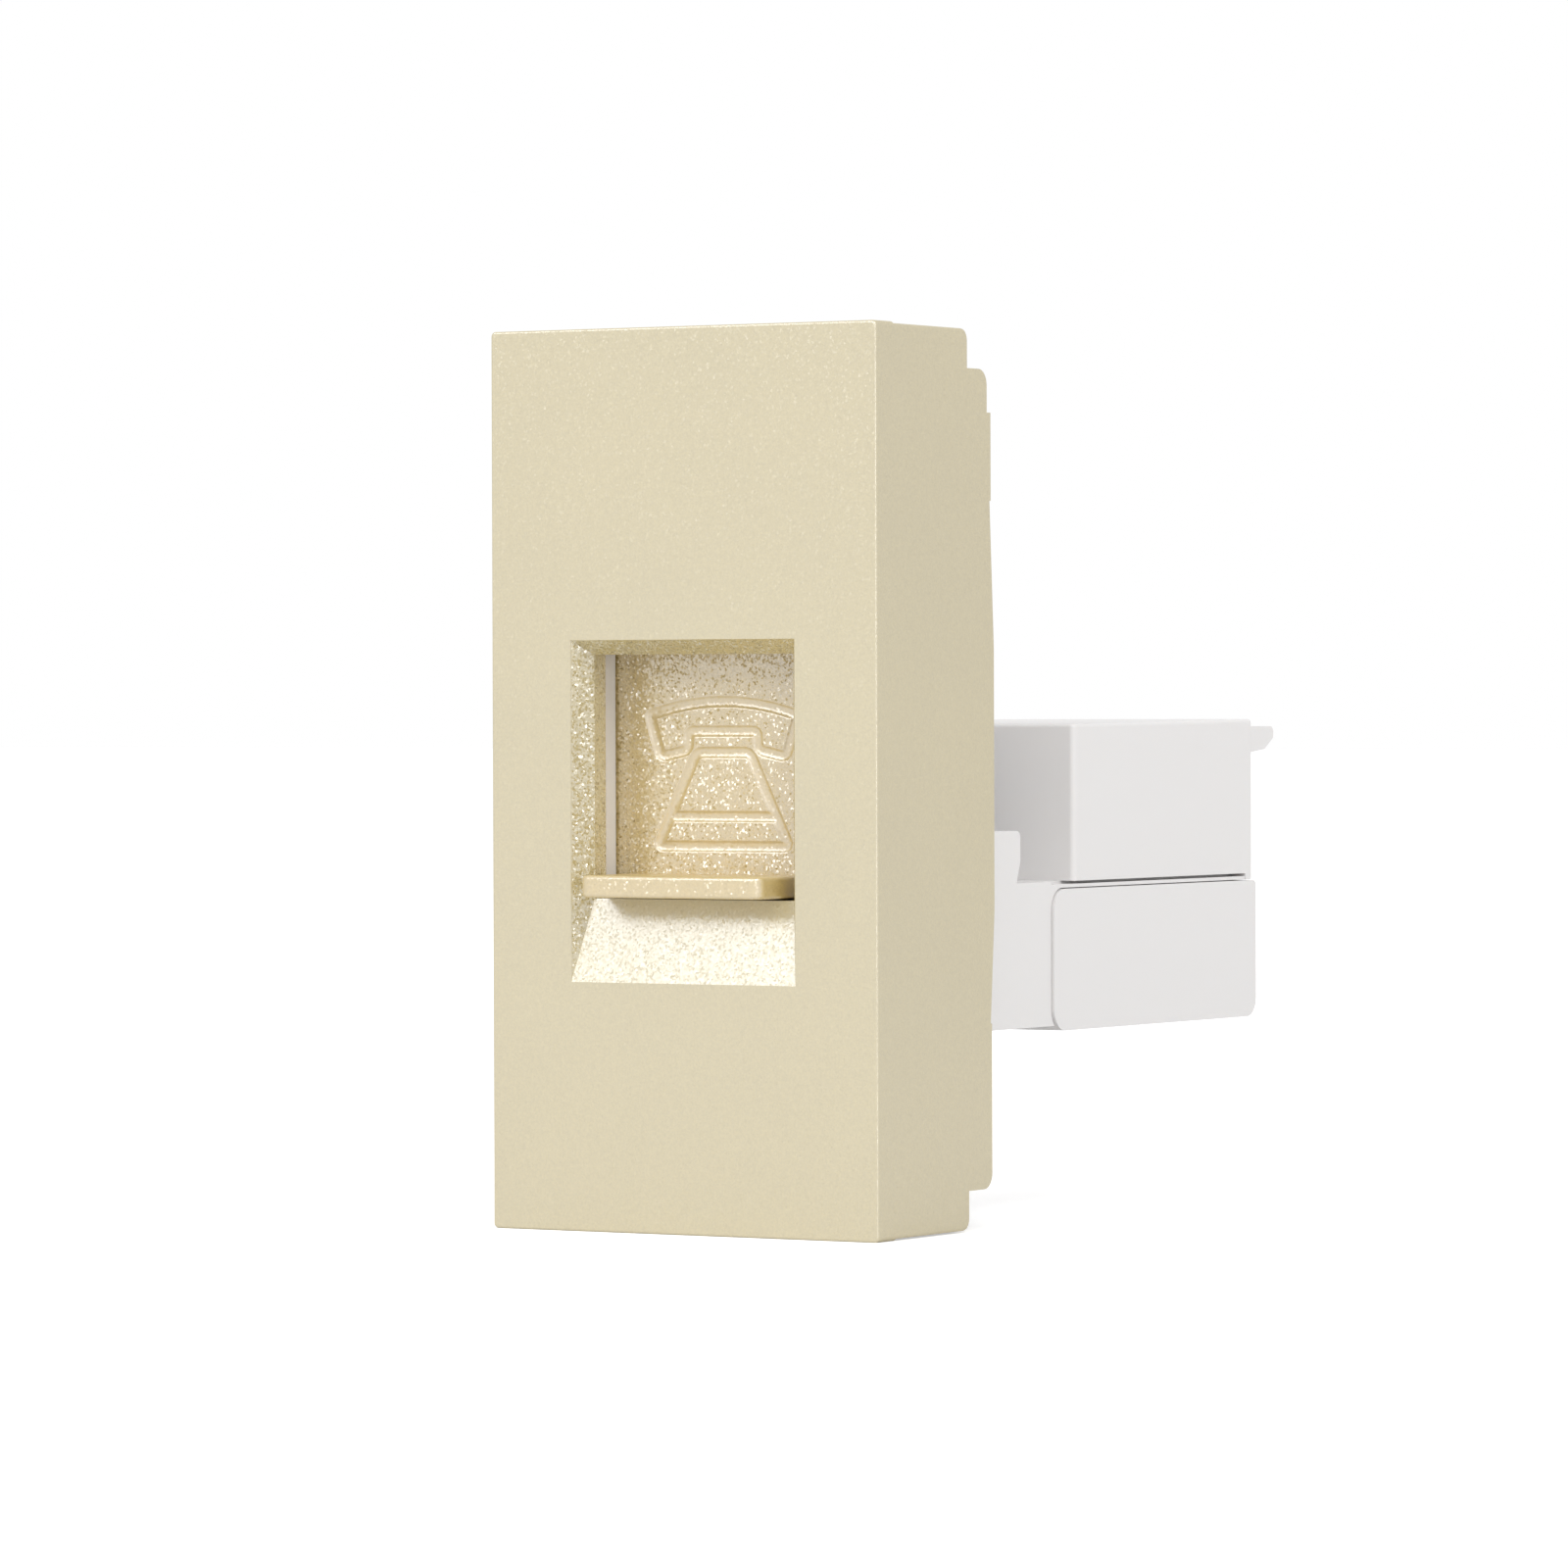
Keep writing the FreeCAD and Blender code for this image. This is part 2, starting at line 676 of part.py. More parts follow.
def make_jack_body():
    nose_z = (nose_bottom, nose_top)
    nose = block(centred(2 * nose_half_width), (plate_rear, nose_rear), nose_z)
    nose = softened(nose, nose_edge_radius, lambda edge: runs_along(edge, "y") and edge.BoundBox.ZMin > 0)
    tab_corners = [
        (body_front, deck_top - bite), (cheek_tab_rear - cheek_tab_foot, deck_top - bite),
        (cheek_tab_rear - cheek_tab_foot, deck_top),
        (cheek_tab_rear, deck_top + cheek_tab_foot_height, cheek_tab_foot_radius),
        (cheek_tab_rear, cheek_tab_top, cheek_tab_radius),
        (body_front, cheek_tab_top, cheek_tab_radius)]
    tab = prism(tab_corners, "x", (nose_half_width - bite, body_half_width))
    front_block_y = (body_front, tray_front - fit_gap)
    width = 2 * body_half_width
    front_block = block(centred(width), front_block_y, (body_bottom, deck_top))
    corner_y = (body_front, tray_front + tray_front_radius)
    corners = block(centred(width), corner_y, (body_bottom, lip_top))
    lip = block(centred(width), (body_front, core_rear), (skirt_bottom, lip_top))
    recess = prism(tray_outline(fit_gap), "x", centred(2 * width))
    lower = fused([corners.fuse(lip).cut(recess), front_block, core_block(0)])
    pieces = [lower, nose, terminal_block()] + pair(tab) + latch_ramps()
    body = fused(pieces)
    board_front = nose_rear - board_front_room
    inner_rear = core_rear - body_wall
    inner_x = centred(2 * inner_half_width)
    below_board = block(inner_x, (board_front, inner_rear), (core_bottom + body_wall, board_z))
    ledge_x = centred(2 * inner_half_width - 2 * board_ledge)
    ledge_y = (board_front + board_ledge, inner_rear - board_ledge)
    above_board = block(ledge_x, ledge_y, (board_z, deck_bottom))
    mouth = block(inner_x, (tray_front + board_mouth_inset, inner_rear), (core_bottom, board_z))
    carrier_x = centred(contact_carrier_width + 2 * lid_gap)
    contact_pocket = block(carrier_x, (contact_pocket_front, nose_rear), (deck_bottom, nose_top))
    groove_start = vec(0, block_rear - bite, deck_top + cable_groove_rise)
    cable_groove = rod(cable_width, groove_start, vec(0, 3 * body_wall, 0))
    port = port_prism((plate_rear, port_end), 0)
    cuts = [port, below_board, above_board, mouth, contact_pocket, cable_groove]
    return body.cut(cuts + contact_cuts() + fork_pockets())


def make_bottom_cover():
    shell = prism(tray_outline(0), "x", centred(2 * tray_half_width))
    hollow_x = centred(2 * tray_inner_half_width)
    hollow = block(hollow_x, (body_front, tray_rear - tray_wall), (tray_floor, deck_top))
    tray = shell.cut(hollow)
    rib_outer = inner_half_width - board_gap - tray_rib_inset
    rib_y = (tray_front + tray_rib_end, core_rear - body_wall - tray_rib_end / 2)
    rib = block((rib_outer - tray_rib_width, rib_outer), rib_y, (tray_floor - bite, board_bottom))
    return fused([tray] + pair(rib))


def finger():
    """Rounded finger at the rear top edge, for lifting the terminal cover off."""
    top = lid_top - finger_drop
    bottom = top - finger_height
    tip = lid_rear + finger_length
    nose = bottom + finger_slant
    corners = [
        (lid_rear - lid_wall, bottom), (lid_rear + finger_root, bottom),
        (tip - finger_nose_length, nose, finger_end_radius),
        (tip, nose + finger_nose_rise, finger_under_radius),
        (tip, top, finger_tip_radius), (lid_rear - lid_wall, top)]
    outer = lid_half_width - finger_inset
    return prism(corners, "x", (outer - finger_width, outer))


def make_terminal_cover():
    outline = [
        (lid_front, deck_top), (skirt_front, deck_top), (skirt_front, skirt_bottom),
        (lid_rear, skirt_bottom), (lid_rear, lid_top + lid_rise), (lid_front, lid_top)]
    lid = prism(outline, "x", centred(2 * lid_half_width))
    long_edge = lid_top - deck_top - bite
    lid = softened(lid, lid_edge_radius, lambda edge: runs_along(edge, "z") and edge.Length > long_edge)
    lid = softened(lid, lid_top_radius, lambda edge: edge.BoundBox.ZMin > lid_top - bite)
    hollow_y = (lid_front + lid_wall, lid_rear - lid_wall)
    hollow = block(centred(2 * lid_inner_half_width), hollow_y, (deck_top, lid_roof))
    cable_corners = [
        (-cable_width / 2, deck_top), (cable_width / 2, deck_top),
        (cable_width / 2, deck_top + cable_height, cable_corner_radius),
        (-cable_width / 2, deck_top + cable_height, cable_corner_radius)]
    cable_hole = prism(cable_corners, "y", (lid_rear - 2 * lid_wall, lid_rear + lid_wall))
    lid = lid.cut([hollow, cable_hole])
    pressers = []
    offset = fork_thickness / 2 + fork_gap + lid_gap + presser_width / 2
    for x, y in fork_places():
        for side in (-1, 1):
            presser_x = centred(presser_width, x + side * offset)
            presser_y = centred(wire_slot_width - 2 * lid_gap, y)
            presser_z = (lid_roof - presser_length, lid_roof + bite)
            pressers.append(block(presser_x, presser_y, presser_z))
    return fused([lid] + pair(finger()) + pressers)


def make_circuit_board():
    y = (nose_rear - board_front_room + board_gap, core_rear - body_wall - board_gap)
    corners = rectangle(centred(2 * inner_half_width - 2 * board_gap), y, board_corner_radius)
    board = prism(corners, "z", (board_bottom, board_z))
    holes = []
    for x in contact_places():
        hole_x = centred(contact_width + 2 * solder_hole_gap, x)
        hole_y = centred(contact_thickness + 2 * solder_hole_gap, contact_tail_y)
        holes.append(block(hole_x, hole_y, (board_bottom, board_z)))
    for x, y in fork_places():
        for side in (-1, 1):
            hole_x = centred(fork_thickness + 2 * solder_hole_gap, x)
            hole_y = centred(pin_width + 2 * solder_hole_gap, y + side * pin_spacing / 2)
            holes.append(block(hole_x, hole_y, (board_bottom, board_z)))
    return board.cut(holes)


def make_contact_carrier():
    front = contact_pocket_front + contact_carrier_gap
    top = contact_run_z - contact_tail_radius
    y = (front, front + contact_carrier_thickness)
    corners = rectangle(centred(contact_carrier_width), y, contact_carrier_radius)
    carrier = prism(corners, "z", (board_z, top))
    holes = []
    for x in contact_places():
        hole_y = centred(contact_thickness + 2 * contact_slot_gap, contact_tail_y)
        holes.append(block(centred(contact_width + 2 * contact_slot_gap, x), hole_y, (board_z, top)))
    return carrier.cut(holes)


def make_contact_wire(x):
    """Sprung strip: slanted contact, fold at the mouth, ceiling run and tail into the board."""
    slope = math.radians(contact_slope)
    fold_y = plate_rear + contact_fold_inset
    fold_z = contact_run_z - contact_fold_radius
    r = contact_fold_radius
    leave = vec(x, fold_y - r * math.sin(slope), fold_z - r * math.cos(slope))
    tip_y = port_end + port_end_wall / 3
    tip = vec(x, tip_y, leave.z - (tip_y - leave.y) * math.tan(slope))
    nose = vec(x, fold_y - r, fold_z)
    top = vec(x, fold_y, contact_run_z)
    bend = contact_tail_radius
    bend_start = vec(x, contact_tail_y - bend, contact_run_z)
    diagonal = bend * math.sin(math.pi / 4)
    bend_middle = vec(x, bend_start.y + diagonal, contact_run_z - bend + diagonal)
    bend_end = vec(x, contact_tail_y, contact_run_z - bend)
    tail = vec(x, contact_tail_y, board_bottom - pin_stand_out)
    path = Part.Wire([
        Part.LineSegment(tip, leave).toShape(),
        Part.Arc(leave, nose, top).toShape(),
        Part.LineSegment(top, bend_start).toShape(),
        Part.Arc(bend_start, bend_middle, bend_end).toShape(),
        Part.LineSegment(bend_end, tail).toShape()])
    across = vec(contact_width / 2, 0, 0)
    through = vec(0, math.sin(slope), math.cos(slope)) * (contact_thickness / 2)
    corners = [tip - across - through, tip + across - through, tip + across + through, tip - across + through]
    section = Part.makePolygon(corners + corners[:1])
    return path.makePipeShell([section], True, False)


def make_terminal_fork(x, y):
    """Flat fork that cuts through a wire's insulation, with two solder pins."""
    half = fork_width / 2
    slot_floor = fork_top - fork_slot_depth
    mouth_floor = fork_top - fork_mouth / 2
    pin_end = board_bottom - pin_stand_out
    outer = pin_spacing / 2 + pin_width / 2
    inner = pin_spacing / 2 - pin_width / 2
    right = [
        (y + fork_slot / 2, slot_floor), (y + fork_slot / 2, mouth_floor), (y + fork_mouth / 2, fork_top),
        (y + half, fork_top, fork_corner_radius), (y + half, board_z), (y + outer, board_z),
        (y + outer, pin_end), (y + inner, pin_end), (y + inner, board_z)]
    left = [(2 * y - corner[0],) + corner[1:] for corner in reversed(right)]
    return prism(right + left, "x", centred(fork_thickness, x))


def save(shape, name):
    """Moves a piece to the seat plane and writes it."""
    placed = shape.copy()
    placed.translate(vec(0, -seat_depth, 0))
    placed.exportStep(os.path.join("parts", name + ".step"))
    print(name, placed.isValid(), len(placed.Solids), round(placed.Volume, 2))


os.makedirs("parts", exist_ok=True)
save(make_front_cover(), "front_cover")
save(make_shutter_carrier(), "shutter_carrier")
save(make_guide_plate(), "guide_plate")
save(make_shutter(), "shutter")
save(make_spring(-1), "shutter_spring_left")
save(make_spring(1), "shutter_spring_right")
save(make_jack_body(), "jack_body")
save(make_bottom_cover(), "bottom_cover")
save(make_terminal_cover(), "terminal_cover")
save(make_circuit_board(), "circuit_board")
save(make_contact_carrier(), "contact_carrier")
for number, contact_x in enumerate(contact_places(), 1):
    save(make_contact_wire(contact_x), "contact_wire_" + str(number))
for number, (place_x, place_y) in enumerate(fork_places(), 1):
    save(make_terminal_fork(place_x, place_y), "terminal_fork_" + str(number))
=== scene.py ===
# %% [markdown]
# A telephone wall socket in champagne gold
#
# The real thing is a half-width module for a wall plate: a painted cover, a sliding shutter
# with a telephone sign, and a white jack that stands out behind. Its solids come finished
# from the CAD model, so this lesson dresses them: paint, moulded plastic, wire and metal,
# the engraved sign, and the plain studio that the module is photographed in.

# %% Load the solids as a fixed frame
import math

import bmesh
import bpy
from mathutils import Matrix, Vector


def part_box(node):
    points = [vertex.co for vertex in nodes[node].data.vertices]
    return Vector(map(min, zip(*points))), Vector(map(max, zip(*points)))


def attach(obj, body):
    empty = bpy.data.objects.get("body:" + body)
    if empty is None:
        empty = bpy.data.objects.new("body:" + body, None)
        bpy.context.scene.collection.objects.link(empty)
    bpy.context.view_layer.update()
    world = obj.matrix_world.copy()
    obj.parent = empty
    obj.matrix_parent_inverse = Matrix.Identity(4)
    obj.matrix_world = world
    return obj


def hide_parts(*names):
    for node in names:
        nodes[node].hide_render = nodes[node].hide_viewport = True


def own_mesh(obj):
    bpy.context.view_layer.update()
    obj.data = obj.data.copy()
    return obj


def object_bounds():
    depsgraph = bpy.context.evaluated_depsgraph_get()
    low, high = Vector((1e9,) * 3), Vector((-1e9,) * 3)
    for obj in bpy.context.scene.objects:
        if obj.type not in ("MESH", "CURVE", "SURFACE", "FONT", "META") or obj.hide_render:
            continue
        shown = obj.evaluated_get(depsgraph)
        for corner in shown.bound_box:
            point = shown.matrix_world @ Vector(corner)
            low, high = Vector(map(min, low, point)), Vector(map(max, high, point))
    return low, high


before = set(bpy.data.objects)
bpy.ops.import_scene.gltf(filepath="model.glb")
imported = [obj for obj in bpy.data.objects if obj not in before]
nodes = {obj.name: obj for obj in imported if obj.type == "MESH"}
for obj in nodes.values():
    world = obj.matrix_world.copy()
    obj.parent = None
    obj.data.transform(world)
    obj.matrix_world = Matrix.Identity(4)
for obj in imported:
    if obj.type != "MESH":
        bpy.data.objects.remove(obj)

MM = 0.001
cad_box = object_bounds()
print("nodes:", len(nodes))
print("box in mm:", [[round(value / MM, 2) for value in corner] for corner in cad_box])

# %% [markdown]
# Helpers for the whole lesson
#
# One function turns the hex colours of a paint chart into the linear values that a shader
# works in. One adds a shader node with its settings and links. One starts a material with
# its surface shader, so that each recipe below is short, and one gives it to a solid. The
# last two put new things into the scene.

# %% Colour and node helpers
def linear(hex_colour):
    """Linear RGBA of an sRGB hex colour."""
    channels = [int(hex_colour[i:i + 2], 16) / 255 for i in (1, 3, 5)]
    values = [c / 12.92 if c <= 0.04045 else ((c + 0.055) / 1.055) ** 2.4 for c in channels]
    return (*values, 1.0)


def add(tree, kind, settings=None, inputs=None):
    """Add a node; an input is a value, or the output socket that feeds it."""
    node = tree.nodes.new(kind)
    for name, value in (settings or {}).items():
        setattr(node, name, value)
    for key, value in (inputs or {}).items():
        if isinstance(value, bpy.types.NodeSocket):
            tree.links.new(value, node.inputs[key])
        else:
            node.inputs[key].default_value = value
    return node


def start_material(name, surface):
    """A material with a Principled shader set from a dictionary of its sockets."""
    material = bpy.data.materials.new(name)
    material.use_nodes = True
    tree = material.node_tree
    shader = tree.nodes["Principled BSDF"]
    for socket, value in surface.items():
        shader.inputs[socket].default_value = value
    return material, tree, shader


def dress(name, material):
    """Give every slot of a CAD node its material."""
    mesh = nodes[name].data
    if not mesh.materials:
        mesh.materials.append(material)
    for slot in nodes[name].material_slots:
        slot.material = material


def put_in_scene(name, data):
    """A new object that shows a mesh, a lamp or a camera."""
    thing = bpy.data.objects.new(name, data)
    bpy.context.scene.collection.objects.link(thing)
    return thing


def finished_mesh(name, shell, material):
    """Turn the work on a BMesh into a mesh with outward faces and one material."""
    bmesh.ops.recalc_face_normals(shell, faces=shell.faces)
    mesh = bpy.data.meshes.new(name)
    shell.to_mesh(mesh)
    shell.free()
    mesh.materials.append(material)
    return mesh


print("middle grey in linear values:", round(linear("#808080")[0], 3))

# %% [markdown]
# Masks
#
# A mask is a number that is 1 where a finish belongs and 0 elsewhere. It comes from the place
# of a point in millimetres or from the direction that its surface faces. Both ride with the
# piece, so the finish stays put when the shutter slides.

# %% Places, directions and masks
def in_mm(tree):
    """Object coordinates in millimetres, which ride with the piece."""
    place = add(tree, "ShaderNodeTexCoord").outputs["Object"]
    scaled = add(tree, "ShaderNodeVectorMath", {"operation": "SCALE"}, {
        0: place, "Scale": 1 / MM})
    return scaled.outputs[0]


def within(tree, value, low, high):
    """1 where a value lies between two bounds."""
    return add(tree, "ShaderNodeMath", {"operation": "COMPARE"}, {
        0: value, 1: (low + high) / 2, 2: (high - low) / 2}).outputs[0]


def combined(tree, operation, masks):
    """Masks joined by one operation: MULTIPLY for all of them, MAXIMUM for any."""
    result = masks[0]
    for mask in masks[1:]:
        step = add(tree, "ShaderNodeMath", {"operation": operation}, {0: result, 1: mask})
        result = step.outputs[0]
    return result


def direction_part(tree, axis):
    """How far the surface faces along an axis, from -1 to 1."""
    normal = add(tree, "ShaderNodeNewGeometry").outputs["Normal"]
    return add(tree, "ShaderNodeSeparateXYZ", None, {0: normal}).outputs[axis]


def in_box(tree, place, box):
    """1 inside a box given by its range on each axis."""
    axes = add(tree, "ShaderNodeSeparateXYZ", None, {0: place})
    masks = [within(tree, axes.outputs[axis], *box[axis]) for axis in "XYZ"]
    return combined(tree, "MULTIPLY", masks)


print("places are metres times", round(1 / MM))

# %% [markdown]
# Champagne metallic lacquer on moulded polycarbonate
#
# The cover is moulded, then sprayed with a lacquer in two parts: a gold-brown pigment, and
# fine pearl flakes that mirror the room in white. From a step away the two mix to an even
# champagne satin; in a recess the flakes have nothing bright to mirror, and the deep gold of
# the pigment shows. A tinted base under a strong uncoloured reflection does exactly this, so
# the index is far above a plastic's: pearl flakes reflect a third of the light.
#
# Each flake lies at its own small angle. Cells with a random lean of the normal make that
# grain. A flake is 0.03 mm; it is drawn at about 0.1 mm so that it still shows in the
# picture. In the window the spray dries coarse, so there the flakes lean further and single
# points catch the lamp.

# %% Flakes at random angles
FLAKE_SIZE = 0.1
EVEN_LEAN = 0.11
COARSE_LEAN = 0.32


def lean_by_flake(tree, place, lean, normal):
    """Tilt a normal by a random amount per flake; the cube leaves most of them nearly flat."""
    flakes = add(tree, "ShaderNodeTexVoronoi", None, {"Vector": place, "Scale": 1 / FLAKE_SIZE})
    centred = add(tree, "ShaderNodeVectorMath", {"operation": "MULTIPLY_ADD"}, {
        0: flakes.outputs["Color"], 1: (2, 2, 2), 2: (-1, -1, -1)}).outputs[0]
    squared = add(tree, "ShaderNodeVectorMath", {"operation": "MULTIPLY"}, {
        0: centred, 1: centred}).outputs[0]
    cubed = add(tree, "ShaderNodeVectorMath", {"operation": "MULTIPLY"}, {
        0: squared, 1: centred}).outputs[0]
    offset = add(tree, "ShaderNodeVectorMath", {"operation": "SCALE"}, {
        0: cubed, "Scale": lean}).outputs[0]
    moved = add(tree, "ShaderNodeVectorMath", {"operation": "ADD"}, {
        0: normal, 1: offset}).outputs[0]
    return add(tree, "ShaderNodeVectorMath", {"operation": "NORMALIZE"}, {0: moved}).outputs[0]


print("flakes per mm:", round(1 / FLAKE_SIZE))

# %% Pigment with slight clouds and specks
CLOUDS_PER_MM = 0.12
CLOUD_LOW, CLOUD_HIGH = 0.96, 1.04
SPECK_LOW, SPECK_HIGH = 0.93, 1.07


def uneven_pigment(tree, place, pigment):
    """The pigment's colour, with wide clouds and fine specks of a few per cent."""
    cloud = add(tree, "ShaderNodeTexNoise", None, {
        "Vector": place, "Scale": CLOUDS_PER_MM, "Detail": 1.0})
    clouded = add(tree, "ShaderNodeMapRange", None, {
        "Value": cloud.outputs["Fac"], "To Min": CLOUD_LOW, "To Max": CLOUD_HIGH})
    speck = add(tree, "ShaderNodeTexNoise", None, {
        "Vector": place, "Scale": 1 / FLAKE_SIZE, "Detail": 2.0})
    specked = add(tree, "ShaderNodeMapRange", None, {
        "Value": speck.outputs["Fac"], "From Min": 0.3, "From Max": 0.7,
        "To Min": SPECK_LOW, "To Max": SPECK_HIGH})
    strength = add(tree, "ShaderNodeMath", {"operation": "MULTIPLY"}, {
        0: clouded.outputs[0], 1: specked.outputs[0]})
    return add(tree, "ShaderNodeVectorMath", {"operation": "SCALE"}, {
        0: linear(pigment)[:3], "Scale": strength.outputs[0]}).outputs[0]


print("widest swing of the pigment:", round(CLOUD_HIGH * SPECK_HIGH, 2))

# %% The lacquer
PEARL_INDEX = 4.0
EVEN_ROUGHNESS = 0.3
COARSE_ROUGHNESS = 0.25
BARE_PLASTIC = "#dddad4"
LACQUER_SPECULAR, BARE_SPECULAR = 0.5, 0.07


def champagne_lacquer(name, pigment, coarse_mask, bare_mask=None):
    """Pearl lacquer; the masks say where the spray dried coarse and where it never reached."""
    material, tree, shader = start_material(name, {"IOR": PEARL_INDEX})
    place = in_mm(tree)
    coarse = coarse_mask(tree, place)
    colour = uneven_pigment(tree, place, pigment)
    tree.links.new(colour, shader.inputs["Base Color"])
    if bare_mask:
        bare = bare_mask(tree, place)
        # Sockets 6 and 7 of this Mix are its two colours.
        shown = add(tree, "ShaderNodeMix", {"data_type": "RGBA"}, {
            0: bare, 6: colour, 7: linear(BARE_PLASTIC)})
        mirror = add(tree, "ShaderNodeMapRange", None, {
            "Value": bare, "To Min": LACQUER_SPECULAR, "To Max": BARE_SPECULAR})
        tree.links.new(shown.outputs[2], shader.inputs["Base Color"])
        tree.links.new(mirror.outputs[0], shader.inputs["Specular IOR Level"])
    satin = add(tree, "ShaderNodeMapRange", None, {
        "Value": coarse, "To Min": EVEN_ROUGHNESS, "To Max": COARSE_ROUGHNESS})
    tree.links.new(satin.outputs[0], shader.inputs["Roughness"])
    flat = add(tree, "ShaderNodeNewGeometry").outputs["Normal"]
    even = lean_by_flake(tree, place, EVEN_LEAN, flat)
    coarse_lean = add(tree, "ShaderNodeMath", {"operation": "MULTIPLY"}, {
        0: coarse, 1: COARSE_LEAN})
    grainy = lean_by_flake(tree, place, coarse_lean.outputs[0], even)
    tree.links.new(grainy, shader.inputs["Normal"])
    return material


print("share of light mirrored:", round(((PEARL_INDEX - 1) / (PEARL_INDEX + 1)) ** 2, 2))

# %% [markdown]
# Two masks on the cover
#
# The coarse grain belongs only to the window's bevels and walls. They lie just behind the
# front face and inside the window's outline, so three comparisons on the coordinates find
# them. The finger slope is left out by its direction, because spray lands on it flat and
# dries even. The second mask is the inside of the shell, with the posts and the snap arms.
# The cover is sprayed from the front on a tray, so there the moulding stays bare.

# %% Where the cover's lacquer is coarse, and where there is none
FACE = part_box("front_cover")[0][1] / MM
WALLS_END = FACE + 2.2
BEHIND_COVER = FACE + 20
INNER_X = (-10.08, 10.08)
INNER_Z = (-21.22, 21.22)
WINDOW = {"X": (-6.6, 6.6), "Y": (FACE + 0.06, WALLS_END), "Z": (-10.2, 7.1)}
CAVITY = {"X": INNER_X, "Y": (WALLS_END, BEHIND_COVER), "Z": INNER_Z}
FACE_BACK = {"X": INNER_X, "Y": (FACE + 1.5, WALLS_END), "Z": INNER_Z}
NOTCHES = {"X": (-4.03, 4.03), "Y": (FACE + 7.15, BEHIND_COVER), "Z": (-22.4, 22.4)}
SLOPE_RISE = 0.1
REARWARD = 0.5


def faces_beyond(tree, axis, limit):
    """1 on faces whose normal points along an axis by more than a limit."""
    return add(tree, "ShaderNodeMath", {"operation": "GREATER_THAN"}, {
        0: direction_part(tree, axis), 1: limit}).outputs[0]


def window_walls(tree, place):
    """1 on the window's bevels and walls, without the finger slope."""
    not_slope = add(tree, "ShaderNodeMath", {"operation": "SUBTRACT"}, {
        0: 1.0, 1: faces_beyond(tree, "Z", SLOPE_RISE)})
    return combined(tree, "MULTIPLY", [in_box(tree, place, WINDOW), not_slope.outputs[0]])


def shell_inside(tree, place):
    """1 on all of the moulding that the spray never reached."""
    back = combined(tree, "MULTIPLY", [
        in_box(tree, place, FACE_BACK), faces_beyond(tree, "Y", REARWARD)])
    return combined(tree, "MAXIMUM", [
        in_box(tree, place, CAVITY), in_box(tree, place, NOTCHES), back])


cover_lacquer = champagne_lacquer(
    "champagne lacquer cover", "#bbab77", window_walls, shell_inside)
dress("front_cover", cover_lacquer)
print("face of the cover at mm:", round(FACE, 2), "lacquered:", cover_lacquer.name)

# %% [markdown]
# The shutter's lacquer
#
# The shutter is sprayed as a piece of its own. Its pigment is a deeper gold than the cover's,
# which paints in the gold light that bounces around inside the window. Its broad plane lies
# in the shade of the window and dries coarse, the front of its ledge less so. Its edges and
# the walls of its sign stay smooth, because the mask asks for a surface that faces forward.

# %% Where the shutter's lacquer is coarse
SHUTTER_FRONT = -4.95
PLANE_BEFORE, PLANE_BEHIND = 0.05, 0.02
FACING_FORWARD = -0.993
LEDGE_SHARE = 0.45


def shutter_face(tree, place):
    """1 on the shutter's own plane, less on its ledge, 0 on edges and the sign's walls."""
    flat = add(tree, "ShaderNodeMath", {"operation": "LESS_THAN"}, {
        0: direction_part(tree, "Y"), 1: FACING_FORWARD}).outputs[0]
    depth = add(tree, "ShaderNodeSeparateXYZ", None, {0: place}).outputs["Y"]
    on_plane = within(tree, depth, SHUTTER_FRONT - PLANE_BEFORE, SHUTTER_FRONT + PLANE_BEHIND)
    share = add(tree, "ShaderNodeMapRange", None, {
        "Value": on_plane, "To Min": LEDGE_SHARE, "To Max": 1.0}).outputs[0]
    return combined(tree, "MULTIPLY", [flat, share])


# The deeper gold of this pigment is painted bounce light from the window's gold walls.
shutter_lacquer = champagne_lacquer("champagne lacquer shutter", "#c8ae6a", shutter_face)
print("lacquered:", shutter_lacquer.name)

# %% [markdown]
# White moulded ABS
#
# The carrier, guide plate and the jack's three mouldings are white ABS from a spark-eroded
# mould: a satin surface with a texture too fine to feel, and a trace of light that enters
# and comes out again, which keeps shadows on it soft. The grain of such a mould is about
# 0.05 mm. It is drawn at 0.12 mm, so that it is not lost between two points of the picture.

# %% White ABS
WHITE_PIECES = ("shutter_carrier", "guide_plate", "jack_body", "bottom_cover", "terminal_cover")
MOULD_GRAIN = 0.12
GRAIN_DEPTH = 0.01
FLOW_MARKS_PER_MM = 0.15


def white_abs():
    """Satin white plastic with the mould's grain and faint marks of the flow."""
    material, tree, shader = start_material("white moulded abs", {
        "Base Color": linear("#e5e3e2"), "IOR": 1.53, "Subsurface Weight": 0.06,
        "Subsurface Radius": (0.6, 0.5, 0.4), "Subsurface Scale": MM})
    place = in_mm(tree)
    texture = add(tree, "ShaderNodeTexNoise", None, {
        "Vector": place, "Scale": 1 / MOULD_GRAIN, "Detail": 3.0})
    bump = add(tree, "ShaderNodeBump", None, {
        "Strength": 0.12, "Distance": GRAIN_DEPTH * MM, "Height": texture.outputs["Fac"]})
    tree.links.new(bump.outputs[0], shader.inputs["Normal"])
    flow = add(tree, "ShaderNodeTexNoise", None, {"Vector": place, "Scale": FLOW_MARKS_PER_MM})
    gloss = add(tree, "ShaderNodeMapRange", None, {
        "Value": flow.outputs["Fac"], "To Min": 0.38, "To Max": 0.46})
    tree.links.new(gloss.outputs[0], shader.inputs["Roughness"])
    return material


abs_white = white_abs()
for name in WHITE_PIECES:
    dress(name, abs_white)
print("white pieces dressed:", len(WHITE_PIECES))

